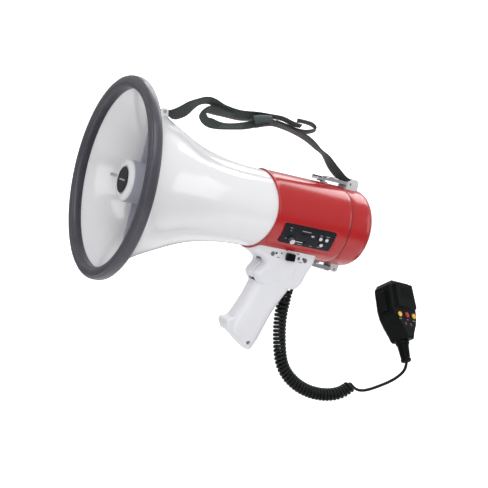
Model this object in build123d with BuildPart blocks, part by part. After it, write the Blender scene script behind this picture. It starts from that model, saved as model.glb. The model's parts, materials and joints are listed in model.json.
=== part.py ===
from build123d import *
import math
import os

# Handheld megaphone with a shoulder strap and a microphone on a coiled cord.
# Millimetres, +Z up, bell mouth towards -X, battery cap towards +X, control panel on the
# -Y side, which is the user's left. The origin is the centre of the hand grip.
#
# Most places are given as a station (distance behind the bell mouth plane, along the horn
# axis) and a height over the horn axis. The normal of Plane.XZ is -Y, so a positive offset
# from it lies on the left.

# ---------------- driving dimensions ----------------
horn_x = -212.0             # bell mouth plane, ahead of the grip centre
horn_z = 112.0              # horn axis above the grip centre
horn_wall = 2.4
horn_end = 188.5            # station where the flare meets the rear sleeve
rim_ring_r = 107.8          # rubber rim: radius of its centre circle
rim_bead_r = 7.2            # rubber rim: half width of its bead
sleeve_r = 44.0             # rear sleeve of the horn, inside the housing
house_r = 47.0              # housing outside radius
house_bore_r = 45.75        # housing bore around the end of the flare
house_front = 179.0
house_rear = 286.6
scoop_r = 135.0             # the housing's front edge is scooped back at both sides
cap_front = 287.4
cap_rear = 322.0
cap_r = 46.6
cap_edge_r = 15.0
cap_wall = 2.6
barrel_r = 23.5             # re-entrant reflector barrel
barrel_front = 12.0
panel_x0, panel_x1 = 201.0, 270.0
panel_a0, panel_a1 = 8.0, 40.0      # degrees below horizontal, on the -Y side
panel_r = 47.4
panel_floor_r = 45.7
cell_r, cell_len = 13.0, 50.0
cell_ring = 18.6
grip_wall = 2.6
trigger_w = 14.0
cord_r = 8.2
mic_t = 30.0                # microphone thickness over both shells
run_gap = 0.05              # running clearance, radial

os.makedirs("parts", exist_ok=True)


# ---------------- frames ----------------
def station(x):
    return horn_x + x


def on_side(x, z):
    # a point of the XZ plane from its station and its height over the horn axis
    return (station(x), horn_z + z)


def side_points(points):
    return [on_side(*point) for point in points]


def to_world(x, y, z):
    return (station(x), y, horn_z + z)


def across(x):
    # plane square to the horn axis; its local coordinates are the world's y and z
    return Plane.YZ.offset(station(x))


def on_body(x, angle, reach):
    # plane square to the housing's radius, `angle` below horizontal on the left
    a = math.radians(angle)
    outward = (0.0, -math.cos(a), -math.sin(a))
    return Plane(origin=(station(x), outward[1] * reach, horn_z + outward[2] * reach),
                 x_dir=(1, 0, 0), z_dir=outward)


def long_plane(angle):
    # plane that holds the horn axis; local y is the radial direction at this angle
    a = math.radians(angle)
    return Plane(origin=(horn_x, 0, horn_z), x_dir=(1, 0, 0),
                 z_dir=(0, math.sin(a), -math.cos(a)))


horn_axis = Axis((horn_x, 0, horn_z), (1, 0, 0))
on_axis = (0, horn_z)       # the horn axis as seen in an across() plane


# ---------------- shared builders ----------------
def inset(points, depth):
    # moves a profile inwards, square to the chord through each point's neighbours
    moved = []
    for i, (x, radius) in enumerate(points):
        before = points[max(i - 1, 0)]
        after = points[min(i + 1, len(points) - 1)]
        run, rise = after[0] - before[0], after[1] - before[1]
        chord = math.hypot(run, rise)
        moved.append((x + rise / chord * depth, radius - run / chord * depth))
    return moved


def save(piece, label):
    piece.part.label = label
    export_step(piece.part, "parts/" + label + ".step")


def save_turned(label, profile):
    # a (station, radius) profile turned about the horn axis
    with BuildPart() as piece:
        with BuildSketch(Plane.XZ):
            with BuildLine():
                Polyline(side_points(profile), close=True)
            make_face()
        revolve(axis=horn_axis)
    save(piece, label)


def save_discs(label, discs):
    # discs on the horn axis: front station, radius, bore radius (0 for none), length
    with BuildPart() as piece:
        for x, radius, bore, length in discs:
            with BuildSketch(across(x)):
                with Locations(on_axis):
                    Circle(radius)
                    if bore:
                        Circle(bore, mode=Mode.SUBTRACT)
            extrude(amount=length)
    save(piece, label)


def save_side_plate(label, outline, half_width):
    with BuildPart() as piece:
        with BuildSketch(Plane.XZ):
            with BuildLine():
                Polyline(side_points(outline), close=True)
            make_face()
        extrude(amount=half_width, both=True)
    save(piece, label)


def save_cross_pins(label, pins):
    # pins along Y: (station, height), radius, half length
    with BuildPart() as piece:
        for place, radius, half_length in pins:
            with BuildSketch(Plane.XZ):
                with Locations(on_side(*place)):
                    Circle(radius)
            extrude(amount=half_length, both=True)
    save(piece, label)


def save_swept(label, radius, runs):
    # round cords, each a path and the direction it starts in
    with BuildPart() as piece:
        for path, start_dir in runs:
            with BuildLine():
                Spline([to_world(*point) for point in path])
            with BuildSketch(Plane(origin=to_world(*path[0]), z_dir=start_dir)):
                Circle(radius)
            sweep()
    save(piece, label)


# ---------------- horn ----------------
# outside of the flare: station, radius
horn_out = [(4.5, 106.3), (12, 99.2), (30, 86.3), (60, 71.1), (95, 56.5), (130, 48.6),
            (160, 45.9), (horn_end, 45.6)]
horn_in = inset(horn_out, horn_wall)
sleeve_end = 203
sleeve_wall = 1.9
# rear sleeve, from the outside of the flare round to the inside
sleeve_profile = [(horn_end, sleeve_r), (sleeve_end, sleeve_r),
                  (sleeve_end, sleeve_r - sleeve_wall), (horn_end, sleeve_r - sleeve_wall)]

with BuildPart() as horn_bell:
    with BuildSketch(Plane.XZ):
        with BuildLine():
            outer = Spline(side_points(horn_out))
            inner = Spline(side_points(horn_in))
            Line(outer @ 0, inner @ 0)
            Polyline(outer @ 1, *side_points(sleeve_profile), inner @ 1)
        make_face()
    revolve(axis=horn_axis)
save(horn_bell, "horn_bell")

with BuildPart() as bell_rim:
    with BuildSketch(Plane.XZ):
        with Locations(on_side(0, rim_ring_r)):
            RectangleRounded(2 * rim_bead_r, 2 * rim_bead_r, 5.2)
    revolve(axis=horn_axis)
    add(horn_bell.part, mode=Mode.SUBTRACT)
save(bell_rim, "bell_rim")

# barrel open to the rear: station, radius
barrel_profile = [(barrel_front, 0), (barrel_front, barrel_r - 5), (13.6, barrel_r - 1.8),
                  (17, barrel_r), (92, barrel_r + 1.5), (92, barrel_r - 0.5),
                  (18, barrel_r - 2.2), (15, barrel_r - 5.5), (15, 0)]
badge_r = 15.0
badge_recess = 1.2

with BuildPart() as reflector:
    with BuildSketch(Plane.XZ):
        with BuildLine():
            Polyline(side_points(barrel_profile), close=True)
        make_face()
    revolve(axis=horn_axis)
    with Locations(Location(to_world(barrel_front, 0, 0))):
        Cylinder(badge_r + 0.2, 2 * badge_recess, rotation=(0, 90, 0), mode=Mode.SUBTRACT)
save(reflector, "reflector_barrel")

with BuildPart() as badge:
    with BuildSketch(across(barrel_front + badge_recess)):
        with Locations(on_axis):
            Circle(badge_r)
    extrude(amount=-2.0)
    fillet(badge.edges().filter_by(GeomType.CIRCLE).sort_by(Axis.X)[0], 0.8)
save(badge, "badge_disc")

# four fins between the barrel and the flare
fin_edge = inset(horn_out, horn_wall + 0.25)[2:5]
with BuildPart() as fins:
    for angle in (0, 90, 180, 270):
        with BuildSketch(long_plane(angle)):
            with BuildLine():
                flare_edge = Spline(fin_edge)
                Polyline(flare_edge @ 1, (fin_edge[2][0], barrel_r + 1.7),
                         (fin_edge[0][0], barrel_r + 0.6), flare_edge @ 0)
            make_face()
        extrude(amount=1.5, both=True)
save(fins, "reflector_fins")

save_turned("tone_tube", [(40, 9), (40, 7.2), (150, 11.2), (150, 13)])

# ---------------- driver ----------------
with BuildPart() as driver_plate:
    with BuildSketch(across(150.3)):
        with Locations(on_axis):
            Circle(42.6)
            Circle(11.4, mode=Mode.SUBTRACT)
            with PolarLocations(37, 4, start_angle=45):
                Circle(1.6, mode=Mode.SUBTRACT)
    extrude(amount=4)
save(driver_plate, "driver_mount_plate")

save_turned("driver_diaphragm", [(157.8, 0), (157.0, 8), (154.9, 17), (154.9, 27),
                                 (154.4, 27), (154.4, 16.8), (156.5, 7.8), (157.3, 0)])

top_plate_x, top_plate_t = 158.2, 4
magnet_x, magnet_t = top_plate_x + top_plate_t, 11
yoke_x = magnet_x + magnet_t
save_discs("driver_top_plate", [(top_plate_x, 34, 18, top_plate_t)])
save_discs("driver_magnet", [(magnet_x, 36, 22, magnet_t)])
save_discs("driver_yoke", [(yoke_x, 33, 0, 4), (159.5, 16.5, 0, 14)])

# ---------------- control layout ----------------
# each place is (station, degrees below horizontal)
panel_keys = (("panel_button_up", (251.7, 21.5)), ("panel_button_down", (260.0, 21.5)),
              ("panel_button_mode", (256.0, 31.0)))
key_r = 2.4
volume_at = (215.5, 31)
volume_shaft_r = 1.5
usb_at = (228.5, 32.5)
usb_size = (13.1, 5.8)
sd_at = (231, 20)
sd_size = (18.1, 2.6)
slot_gap = 0.3              # an opening's extra width and height over its connector
cut_from = 40               # radius where the cuts through the side start
# openings through both housing and panel: place, sketch shape, its sizes
panel_openings = [(place, Circle, (key_r + 0.1,)) for _, place in panel_keys]
panel_openings += [
    (volume_at, Circle, (volume_shaft_r + run_gap,)),
    (usb_at, Rectangle, (usb_size[0] + slot_gap, usb_size[1] + slot_gap)),
    (sd_at, Rectangle, (sd_size[0] + slot_gap, sd_size[1] + slot_gap)),
]
panel_mid = (panel_x0 + panel_x1) / 2
panel_len = panel_x1 - panel_x0
panel_arc = panel_a1 - panel_a0

socket_x, socket_y = 270.5, 20.0
socket_r = 5.0

# ---------------- housing ----------------
house_profile = [(house_front - 1, house_bore_r), (house_front - 1, house_r),
                 (house_rear, house_r), (house_rear, sleeve_r + 1.3), (279, sleeve_r + 1.3),
                 (276, sleeve_r + 0.1), (189, sleeve_r + 0.1), (189, house_bore_r)]

with BuildPart() as house:
    with BuildSketch(Plane.XZ):
        with BuildLine():
            Polyline(side_points(house_profile), close=True)
        make_face()
    revolve(axis=horn_axis)
    # scooped front edge
    with BuildSketch(Plane.XY.offset(horn_z - 60)):
        with Locations((station(185), 0)):
            Rectangle(40, 110)
        with Locations((station(house_front + scoop_r), 0)):
            Circle(scoop_r, mode=Mode.SUBTRACT)
    extrude(amount=120, mode=Mode.SUBTRACT)
    # pocket for the control panel
    with BuildSketch(long_plane(panel_a0 - 0.15)):
        with Locations((panel_mid, 47.7)):
            Rectangle(panel_len + 0.3, 4.2)
    revolve(axis=horn_axis, revolution_arc=panel_arc + 0.3, mode=Mode.SUBTRACT)
    # openings behind the panel
    for place, shape, size in panel_openings:
        with BuildSketch(on_body(*place, cut_from)):
            shape(*size)
        extrude(amount=8, mode=Mode.SUBTRACT)
    # microphone socket hole
    with BuildSketch(Plane.XY.offset(horn_z - 60)):
        with Locations((station(socket_x), socket_y)):
            Circle(socket_r + run_gap)
    extrude(amount=30, mode=Mode.SUBTRACT)
save(house, "body_housing")

with BuildPart() as gasket:
    with BuildSketch(Plane.XZ):
        with Locations(on_side((house_rear + cap_front) / 2, 45.9)):
            Rectangle(0.7, 1.5)
    revolve(axis=horn_axis)
save(gasket, "cap_gasket")

# ---------------- rear cap ----------------
cap_inner_r = sleeve_r - 0.8
cap_spigot_r = sleeve_r + 1.1       # step that enters the housing
cap_spigot_front = 280
cap_flat_r = 31.0                   # flat inside face, within the inner edge arc
cap_edge_x = cap_rear - cap_edge_r  # station where both edge arcs start
cap_inner_x = cap_rear - cap_wall
sin_45, cos_45 = math.sin(math.pi / 4), math.cos(math.pi / 4)

with BuildPart() as cap:
    with BuildSketch(Plane.XZ):
        with BuildLine():
            Polyline(side_points([(cap_inner_x, 0), (cap_rear, 0),
                                  (cap_rear, cap_r - cap_edge_r)]))
            ThreePointArc(on_side(cap_rear, cap_r - cap_edge_r),
                          on_side(cap_rear - cap_edge_r * (1 - cos_45),
                                  cap_r - cap_edge_r * (1 - sin_45)),
                          on_side(cap_edge_x, cap_r))
            Polyline(side_points([(cap_edge_x, cap_r), (cap_front, cap_r),
                                  (cap_front, cap_spigot_r), (cap_spigot_front, cap_spigot_r),
                                  (cap_spigot_front, cap_inner_r), (cap_edge_x, cap_inner_r)]))
            ThreePointArc(on_side(cap_edge_x, cap_inner_r),
                          on_side(cap_inner_x - (cap_edge_r - cap_wall) * (1 - cos_45),
                                  cap_flat_r + (cap_inner_r - cap_flat_r) * sin_45),
                          on_side(cap_inner_x, cap_flat_r))
            Line(on_side(cap_inner_x, cap_flat_r), on_side(cap_inner_x, 0))
        make_face()
    revolve(axis=horn_axis)
save(cap, "rear_cap")

# ---------------- batteries ----------------
cell_front = 187.2
cell_tip = 1.5              # height of the terminal at the rear of each cell

with BuildPart() as cells:
    for row_x in (cell_front, cell_front + cell_len + 0.4):
        for x, radius, length in ((row_x, cell_r, cell_len - cell_tip),
                                  (row_x + cell_len - cell_tip, 3, cell_tip)):
            with BuildSketch(across(x)):
                with Locations(on_axis):
                    with PolarLocations(cell_ring, 4, start_angle=45):
                        Circle(radius)
            extrude(amount=length)
save(cells, "battery_cells")

# front plate, centre rod, rear plate
save_discs("battery_holder", [(180, 38, 0, 5), (185, 4.6, 0, 105), (290, 36, 0, 3)])

with BuildPart() as contacts:
    for x in (185.4, 288.2):
        with BuildSketch(across(x)):
            with Locations(on_axis):
                with PolarLocations(cell_ring, 4, start_angle=45):
                    RectangleRounded(12, 9, 2)
        extrude(amount=1.4)
save(contacts, "battery_contacts")

# ---------------- control panel ----------------
with BuildPart() as panel:
    with BuildSketch(long_plane(panel_a0)):
        with Locations((panel_mid, (panel_r + panel_floor_r) / 2)):
            Rectangle(panel_len, panel_r - panel_floor_r)
    revolve(axis=horn_axis, revolution_arc=panel_arc)
    # corners
    fillet([e for e in panel.edges().filter_by(GeomType.LINE) if e.length < 3], 1.6)
    for place, shape, size in panel_openings:
        with BuildSketch(on_body(*place, cut_from)):
            shape(*size)
        extrude(amount=10, mode=Mode.SUBTRACT)
save(panel, "control_panel")

key_base = 41.6             # radius of the inner ends of the keys and the volume shaft
key_flange_t = 0.9
for label, place in panel_keys:
    with BuildPart() as key:
        with BuildSketch(on_body(*place, key_base)):
            Circle(3.2)
        extrude(amount=key_flange_t)
        with BuildSketch(on_body(*place, key_base + key_flange_t)):
            Circle(key_r)
        extrude(amount=6.5)
        fillet(key.edges().filter_by(GeomType.CIRCLE).sort_by(Axis.Y)[0], 0.7)
    save(key, label)

with BuildPart() as volume:
    with BuildSketch(on_body(*volume_at, key_base)):
        Circle(volume_shaft_r)
    extrude(amount=6.5)
    # fluted knob
    with BuildSketch(on_body(*volume_at, 48.0)):
        Circle(3.6)
        with PolarLocations(3.65, 16):
            Circle(0.22, mode=Mode.SUBTRACT)
    extrude(amount=5.0, taper=3)
    # pointer groove
    with BuildSketch(on_body(*volume_at, 53.2)):
        with Locations((0, 1.8)):
            Rectangle(0.7, 2.2)
    extrude(amount=-0.7, mode=Mode.SUBTRACT)
save(volume, "volume_knob")

with BuildPart() as volume_pot:
    with BuildSketch(on_body(*volume_at, 40.9)):
        Circle(5)
        Circle(volume_shaft_r + run_gap, mode=Mode.SUBTRACT)
    extrude(amount=2.5)
save(volume_pot, "volume_pot")

usb_base = 41.2
usb_floor_t = 0.8
with BuildPart() as usb:
    with BuildSketch(on_body(*usb_at, usb_base)):
        Rectangle(*usb_size)
        Rectangle(usb_size[0] - 1, usb_size[1] - 1, mode=Mode.SUBTRACT)
    extrude(amount=6.0)
    with BuildSketch(on_body(*usb_at, usb_base)):
        Rectangle(*usb_size)
    extrude(amount=usb_floor_t)
    # contact tongue
    with BuildSketch(on_body(*usb_at, usb_base + usb_floor_t)):
        with Locations((0, 0.9)):
            Rectangle(11.2, 1.8)
    extrude(amount=4.4)
save(usb, "usb_port")

sd_base = 41.0
with BuildPart() as sd_slot:
    with BuildSketch(on_body(*sd_at, sd_base)):
        Rectangle(*sd_size)
    extrude(amount=6.2)
    with BuildSketch(on_body(*sd_at, sd_base + 1)):
        Rectangle(16.6, 1.2)
    extrude(amount=6, mode=Mode.SUBTRACT)
save(sd_slot, "sd_slot")

board_plane = on_body(238.6, 26, 38.2)
with BuildPart() as board:
    with BuildSketch(board_plane):
        Rectangle(68, 32)
    extrude(amount=1.6)
    # three round components on the inner face
    with BuildSketch(board_plane):
        for x, y in ((-24, -9), (-24, 8), (6, -10)):
            with Locations((x, y)):
                Circle(3)
    extrude(amount=-3.5)
save(board, "amplifier_board")

# ---------------- microphone socket and plug ----------------
plug_pin_r = 3.0
with BuildPart() as socket:
    with BuildSketch(Plane.XY.offset(horn_z - 48.5)):
        with Locations((station(socket_x), socket_y)):
            Circle(socket_r)
            Circle(plug_pin_r + run_gap, mode=Mode.SUBTRACT)
    extrude(amount=12)
save(socket, "mic_socket")

# pin, tapered body and neck: height of the top, radius, length, taper
plug_steps = [(-36.8, plug_pin_r, 11.9, 0), (-48.7, 4.6, 9, 4), (-57.7, 2.9, 4.2, 0)]
with BuildPart() as plug:
    for top, radius, length, taper in plug_steps:
        with BuildSketch(Plane.XY.offset(horn_z + top)):
            with Locations((station(socket_x), socket_y)):
                Circle(radius)
        extrude(amount=-length, taper=taper)
save(plug, "mic_plug")

# ---------------- grip ----------------
# upper grip: height, front station, rear station, half width, corner radius
grip_rows = [
    (-38.0, 184.0, 264.0, 26.0, 5.0), (-50.0, 190.0, 263.2, 24.8, 6.0),
    (-60.0, 202.5, 261.0, 22.0, 7.0), (-67.0, 199.0, 259.6, 20.4, 7.0),
    (-74.0, 195.2, 258.0, 19.4, 7.0), (-80.0, 197.5, 255.6, 18.6, 7.5),
    (-84.5, 200.5, 250.5, 17.4, 8.0),
]
# handle: centre station, height, length, half width, tilt in degrees
handle_rows = [(226.5, -74.0, 47.0, 18.2, 0.0), (218.6, -94.0, 43.0, 16.8, 14.0),
               (210.8, -114.0, 40.6, 16.4, 20.0), (203.4, -134.0, 42.5, 17.0, 24.0)]
foot_rows = [(199.6, -145.0, 43.0, 17.0, 29.0), (196.9, -156.2, 39.0, 15.6, 35.0)]
hollow_end_rows = [(201.2, -139.5, 42.0, 16.8, 26.0)]


def grip_solid(wall, end_rows, heel_r=0):
    # the grip shrunk by the wall on all sides; heel_r rounds the bottom face
    with BuildPart() as solid:
        for z, front, rear, half_w, corner in grip_rows:
            with BuildSketch(Plane.XY.offset(horn_z + z)):
                with Locations((station((front + rear) / 2), 0)):
                    RectangleRounded(rear - front - 2 * wall, 2 * (half_w - wall),
                                     max(corner - wall, 1.5))
        loft()
        for x, z, length, half_w, tilt in handle_rows + end_rows:
            a = math.radians(tilt)
            row_plane = Plane(origin=to_world(x, 0, z), x_dir=(math.cos(a), 0, -math.sin(a)),
                              z_dir=(math.sin(a), 0, math.cos(a)))
            with BuildSketch(row_plane):
                RectangleRounded(length - 2 * wall, 2 * (half_w - wall), max(12.0 - wall, 2))
        loft()
        if heel_r:
            fillet(solid.faces().sort_by(Axis.Z)[0].edges(), heel_r)
    return solid.part


grip_out = grip_solid(0, foot_rows, heel_r=3.2)
grip_in = grip_solid(grip_wall, hollow_end_rows)

# side outlines: station, height
slot_outline = [(200, -55.0), (218, -55), (219, -74), (208, -82.5), (196, -82.8),
                (180, -82.8), (180, -66)]
hook_outline = [(190, -124), (183.5, -128.6), (179.5, -131.4), (175.4, -132.6),
                (173.4, -134.8), (174.0, -139.5), (178.6, -146.5), (190, -150)]
hook_half_w = 12.5

with BuildPart() as trigger_slot:
    with BuildSketch(Plane.XZ):
        with BuildLine():
            Polyline(side_points(slot_outline), close=True)
        make_face()
    extrude(amount=trigger_w / 2 + 0.4, both=True)

with BuildPart() as finger_hook:
    with BuildSketch(Plane.XZ):
        with BuildLine():
            Polyline(side_points(hook_outline), close=True)
        make_face()
    extrude(amount=hook_half_w, both=True)
    fillet([e for e in finger_hook.edges().filter_by(Axis.Y)
            if e.center().X < station(182)], 1.0)
    fillet(finger_hook.edges().filter_by(
        lambda e: abs(abs(e.center().Y) - hook_half_w) < 0.01
        and e.center().X < station(182)), 2.2)

trigger_pin_at = (209.0, -59.5)
trigger_bore_r = 2.0
mode_x, mode_z = 228.5, -46.8
# screws: station, height
plate_screws = ((205.0, -46.5), (249.5, -47.5))     # from both sides
handle_screws = ((222.0, -92.0), (206.0, -130.0))   # heads on the right
screw_hole_r = 1.5
screw_shank_r = screw_hole_r - run_gap
screw_head_r = 2.7
head_pocket_r = 2.9
plate_seat_y = 23.3         # distance of the head seats from the middle plane
handle_seat_y = 15.2

with BuildPart() as grip_whole:
    add(grip_out)
    add(finger_hook.part)
    add(grip_in, mode=Mode.SUBTRACT)
    # saddle for the housing
    with BuildSketch(across(150)):
        with Locations(on_axis):
            Circle(house_r + 0.05)
    extrude(amount=140, mode=Mode.SUBTRACT)
    add(trigger_slot.part, mode=Mode.SUBTRACT)
    # lanyard hole across the foot, then trigger pin bore, blind in both shells
    for place, radius, reach in (((205.5, -156.0), 2.5, 40),
                                 (trigger_pin_at, trigger_bore_r, 19)):
        with BuildSketch(Plane.XZ):
            with Locations(on_side(*place)):
                Circle(radius)
        extrude(amount=reach, both=True, mode=Mode.SUBTRACT)
    # mode switch pocket and slot on the left
    with BuildSketch(Plane.XZ.offset(24.2)):
        with Locations(on_side(mode_x, mode_z)):
            RectangleRounded(27, 10.6, 1.5)
    extrude(amount=12, mode=Mode.SUBTRACT)
    with BuildSketch(Plane.XZ.offset(15)):
        with Locations(on_side(mode_x, mode_z)):
            Rectangle(11.2, 3.0)
    extrude(amount=20, mode=Mode.SUBTRACT)
    # screw holes with head pockets
    for place in plate_screws:
        with BuildSketch(Plane.XZ):
            with Locations(on_side(*place)):
                Circle(screw_hole_r)
        extrude(amount=40, both=True, mode=Mode.SUBTRACT)
        for side in (1, -1):
            with BuildSketch(Plane.XZ.offset(side * plate_seat_y)):
                with Locations(on_side(*place)):
                    Circle(head_pocket_r)
            extrude(amount=side * 12, mode=Mode.SUBTRACT)
    for place in handle_screws:
        with BuildSketch(Plane.XZ.offset(-20)):
            with Locations(on_side(*place)):
                Circle(screw_hole_r)
        extrude(amount=35.2, mode=Mode.SUBTRACT)
        with BuildSketch(Plane.XZ.offset(-handle_seat_y)):
            with Locations(on_side(*place)):
                Circle(head_pocket_r)
        extrude(amount=-10, mode=Mode.SUBTRACT)

# the right shell starts 0.1 off the middle plane, which leaves a parting gap
for label, cut_plane, kept in (("grip_shell_left", Plane.XZ, Keep.TOP),
                               ("grip_shell_right", Plane.XZ.offset(-0.1), Keep.BOTTOM)):
    with BuildPart() as grip_half:
        add(grip_whole.part)
        split(bisect_by=cut_plane, keep=kept)
    save(grip_half, label)

plate_head_t = 1.5
with BuildPart() as screws:
    for place in plate_screws:
        for side in (1, -1):
            for radius, length in ((screw_head_r, plate_head_t), (screw_shank_r, -7.5)):
                with BuildSketch(Plane.XZ.offset(side * plate_seat_y)):
                    with Locations(on_side(*place)):
                        Circle(radius)
                extrude(amount=side * length)
            # cross recess
            with BuildSketch(Plane.XZ.offset(side * (plate_seat_y + plate_head_t))):
                with Locations(on_side(*place)):
                    Rectangle(3.4, 0.7)
                    Rectangle(0.7, 3.4)
            extrude(amount=-side * 0.9, mode=Mode.SUBTRACT)
    for place in handle_screws:
        for radius, length in ((screw_head_r, -1.3), (screw_shank_r, 30)):
            with BuildSketch(Plane.XZ.offset(-handle_seat_y)):
                with Locations(on_side(*place)):
                    Circle(radius)
            extrude(amount=length)
save(screws, "grip_screws")

# ---------------- trigger ----------------
save_cross_pins("trigger_pin", [(trigger_pin_at, trigger_bore_r - run_gap, 18.5)])

trigger_outline = [(204.4, -57.0), (212.5, -56.2), (214.0, -62), (212.5, -68), (205, -76),
                   (200.0, -79.6), (195.0, -79.6), (192.6, -77.5), (190.8, -73.4),
                   (192.4, -70.2), (198.0, -63.4)]
with BuildPart() as trigger:
    with BuildSketch(Plane.XZ):
        with BuildLine():
            Polyline(side_points(trigger_outline), close=True)
        make_face()
    extrude(amount=trigger_w / 2, both=True)
    fillet([e for e in trigger.edges().filter_by(Axis.Y)
            if e.center().X < station(193.5)], 1.2)
    with BuildSketch(Plane.XZ):
        with Locations(on_side(*trigger_pin_at)):
            Circle(trigger_bore_r)
    extrude(amount=30, both=True, mode=Mode.SUBTRACT)
    fillet(trigger.edges().filter_by(
        lambda e: abs(abs(e.center().Y) - trigger_w / 2) < 0.01
        and e.geom_type == GeomType.LINE and e.center().X < station(206)), 0.8)
save(trigger, "trigger")

with BuildPart() as trigger_switch:
    with BuildSketch(Plane.XZ):
        with Locations(on_side(229, -72)):
            Rectangle(12, 16)
        with Locations(on_side(222, -70)):
            Rectangle(2.2, 3)
    extrude(amount=3.2, both=True)
save(trigger_switch, "trigger_switch")

save_side_plate("trigger_return_leaf", [(222.6, -62), (223.2, -62), (223.2, -58.2),
                                        (231, -56.2), (231, -55.6), (222.6, -57.7)], 2.5)

# ---------------- mode switch ----------------
with BuildPart() as mode_body:
    with BuildSketch(Plane.XZ.offset(14)):
        with Locations(on_side(mode_x, -54.0)):
            Rectangle(22, 17)
    extrude(amount=4.5)
    with BuildSketch(across(200)):
        with Locations(on_axis):
            Circle(house_r + 0.1)
    extrude(amount=60, mode=Mode.SUBTRACT)
save(mode_body, "mode_switch_body")

mode_knob_y = 24.5          # inner face of the knob, left of the middle plane
mode_knob_t = 4.2
with BuildPart() as mode_knob:
    with BuildSketch(Plane.XZ.offset(mode_knob_y)):
        with Locations(on_side(mode_x, mode_z)):
            RectangleRounded(11.0, 8.6, 1.2)
    extrude(amount=mode_knob_t)
    fillet(mode_knob.edges().group_by(Axis.Y)[0], 0.6)
    # finger grooves
    with BuildSketch(Plane.XZ.offset(mode_knob_y + mode_knob_t)):
        with Locations(on_side(mode_x, mode_z)):
            with GridLocations(2.4, 1, 4, 1):
                Rectangle(0.8, 6.4)
    extrude(amount=-0.8, mode=Mode.SUBTRACT)
    # stem towards the switch body
    with BuildSketch(Plane.XZ.offset(19.0)):
        with Locations(on_side(mode_x, mode_z)):
            Rectangle(3.2, 2.6)
    extrude(amount=5.6)
    with BuildSketch(across(200)):
        with Locations(on_axis):
            Circle(house_r + 0.3)
    extrude(amount=60, mode=Mode.SUBTRACT)
save(mode_knob, "mode_switch_knob")

# ---------------- latches ----------------
top_pin = (294.5, 52.0)
low_pin = (300.5, -52.0)
latch_bore_r = 1.5

# label, side outline, half width, slot centre, slot size, slot half width, pin place
brackets = (
    ("strap_bracket_rear",
     [(289.5, 44), (306, 44), (305.4, 55), (303, 58.6), (298.5, 58.6), (291, 54.6)],
     10.5, (292.7, 58.8), (15.4, 22.4), 8.0, top_pin),
    ("latch_bracket_lower",
     [(295, -44), (306, -44), (305, -53.5), (302.5, -55.2), (298.5, -55.2), (296, -53)],
     9.5, (297, -60), (16, 23.4), 7.2, low_pin),
)
for label, outline, half_w, slot_at, slot_size, slot_half_w, pin_at in brackets:
    with BuildPart() as bracket:
        with BuildSketch(Plane.XZ):
            with BuildLine():
                Polyline(side_points(outline), close=True)
            make_face()
        extrude(amount=half_w, both=True)
        with BuildSketch(Plane.XZ):
            with Locations(on_side(*slot_at)):
                Rectangle(*slot_size)
        extrude(amount=slot_half_w, both=True, mode=Mode.SUBTRACT)
        with BuildSketch(across(280)):
            with Locations(on_axis):
                Circle(cap_r + 0.02)
        extrude(amount=40, mode=Mode.SUBTRACT)
        with BuildSketch(Plane.XZ):
            with Locations(on_side(*pin_at)):
                Circle(latch_bore_r)
        extrude(amount=20, both=True, mode=Mode.SUBTRACT)
    save(bracket, label)

latch_pin_r = latch_bore_r - run_gap
save_cross_pins("latch_pins", [(top_pin, latch_pin_r, 10.4), (low_pin, latch_pin_r, 9.4)])

# label, side outline, half width, pin place, fillet at the front tip (0 for none)
levers = (
    ("latch_lever_top",
     [(249.0, 49.6), (257, 49.6), (258.0, 48.0), (260.6, 48.0), (261.0, 50.3), (291, 50.3),
      (292.8, 49.6), (295.5, 49.4), (297.0, 51), (297.0, 53), (295.5, 54.6), (292, 54.2),
      (276, 54.4), (258, 52.6), (249.6, 52.6)],
     7.6, top_pin, 1.2),
    ("latch_lever_lower",
     [(267.5, -49.4), (272.6, -49.4), (273.4, -48.0), (275.6, -48.0), (276.2, -50.0),
      (297, -50.0), (299, -49.4), (301.5, -49.4), (303.0, -51), (303.0, -53),
      (301.5, -54.6), (290, -54.2), (272, -52.8), (268, -52.2)],
     6.8, low_pin, 0),
)
for label, outline, half_w, pin_at, tip_fillet in levers:
    with BuildPart() as lever:
        with BuildSketch(Plane.XZ):
            with BuildLine():
                Polyline(side_points(outline), close=True)
            make_face()
        extrude(amount=half_w, both=True)
        if tip_fillet:
            fillet(lever.edges().filter_by(
                lambda e: abs(abs(e.center().Y) - half_w) < 0.01
                and e.center().X < station(250)), tip_fillet)
        with BuildSketch(Plane.XZ):
            with Locations(on_side(*pin_at)):
                Circle(latch_bore_r)
        extrude(amount=20, both=True, mode=Mode.SUBTRACT)
    save(lever, label)

# ramps on the housing: side outline, half width
keeper_ramps = (([(261.9, 44), (266.4, 44), (264.9, 48.7), (261.9, 48.7)], 6.5),
                ([(276.9, -44), (281.4, -44), (279.9, -48.7), (276.9, -48.7)], 6.0))
with BuildPart() as keepers:
    for outline, half_w in keeper_ramps:
        with BuildSketch(Plane.XZ):
            with BuildLine():
                Polyline(side_points(outline), close=True)
            make_face()
        extrude(amount=half_w, both=True)
    with BuildSketch(across(250)):
        with Locations(on_axis):
            Circle(house_r)
    extrude(amount=40, mode=Mode.SUBTRACT)
save(keepers, "latch_keepers")

# ---------------- strap ----------------
strap_bar_at = (38.2, 84.2)
strap_bore_r = 1.9
lug_outline = [(30, 70), (45, 70), (41.6, 86), (40, 87.6), (36, 87.6), (34, 86.2)]

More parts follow.
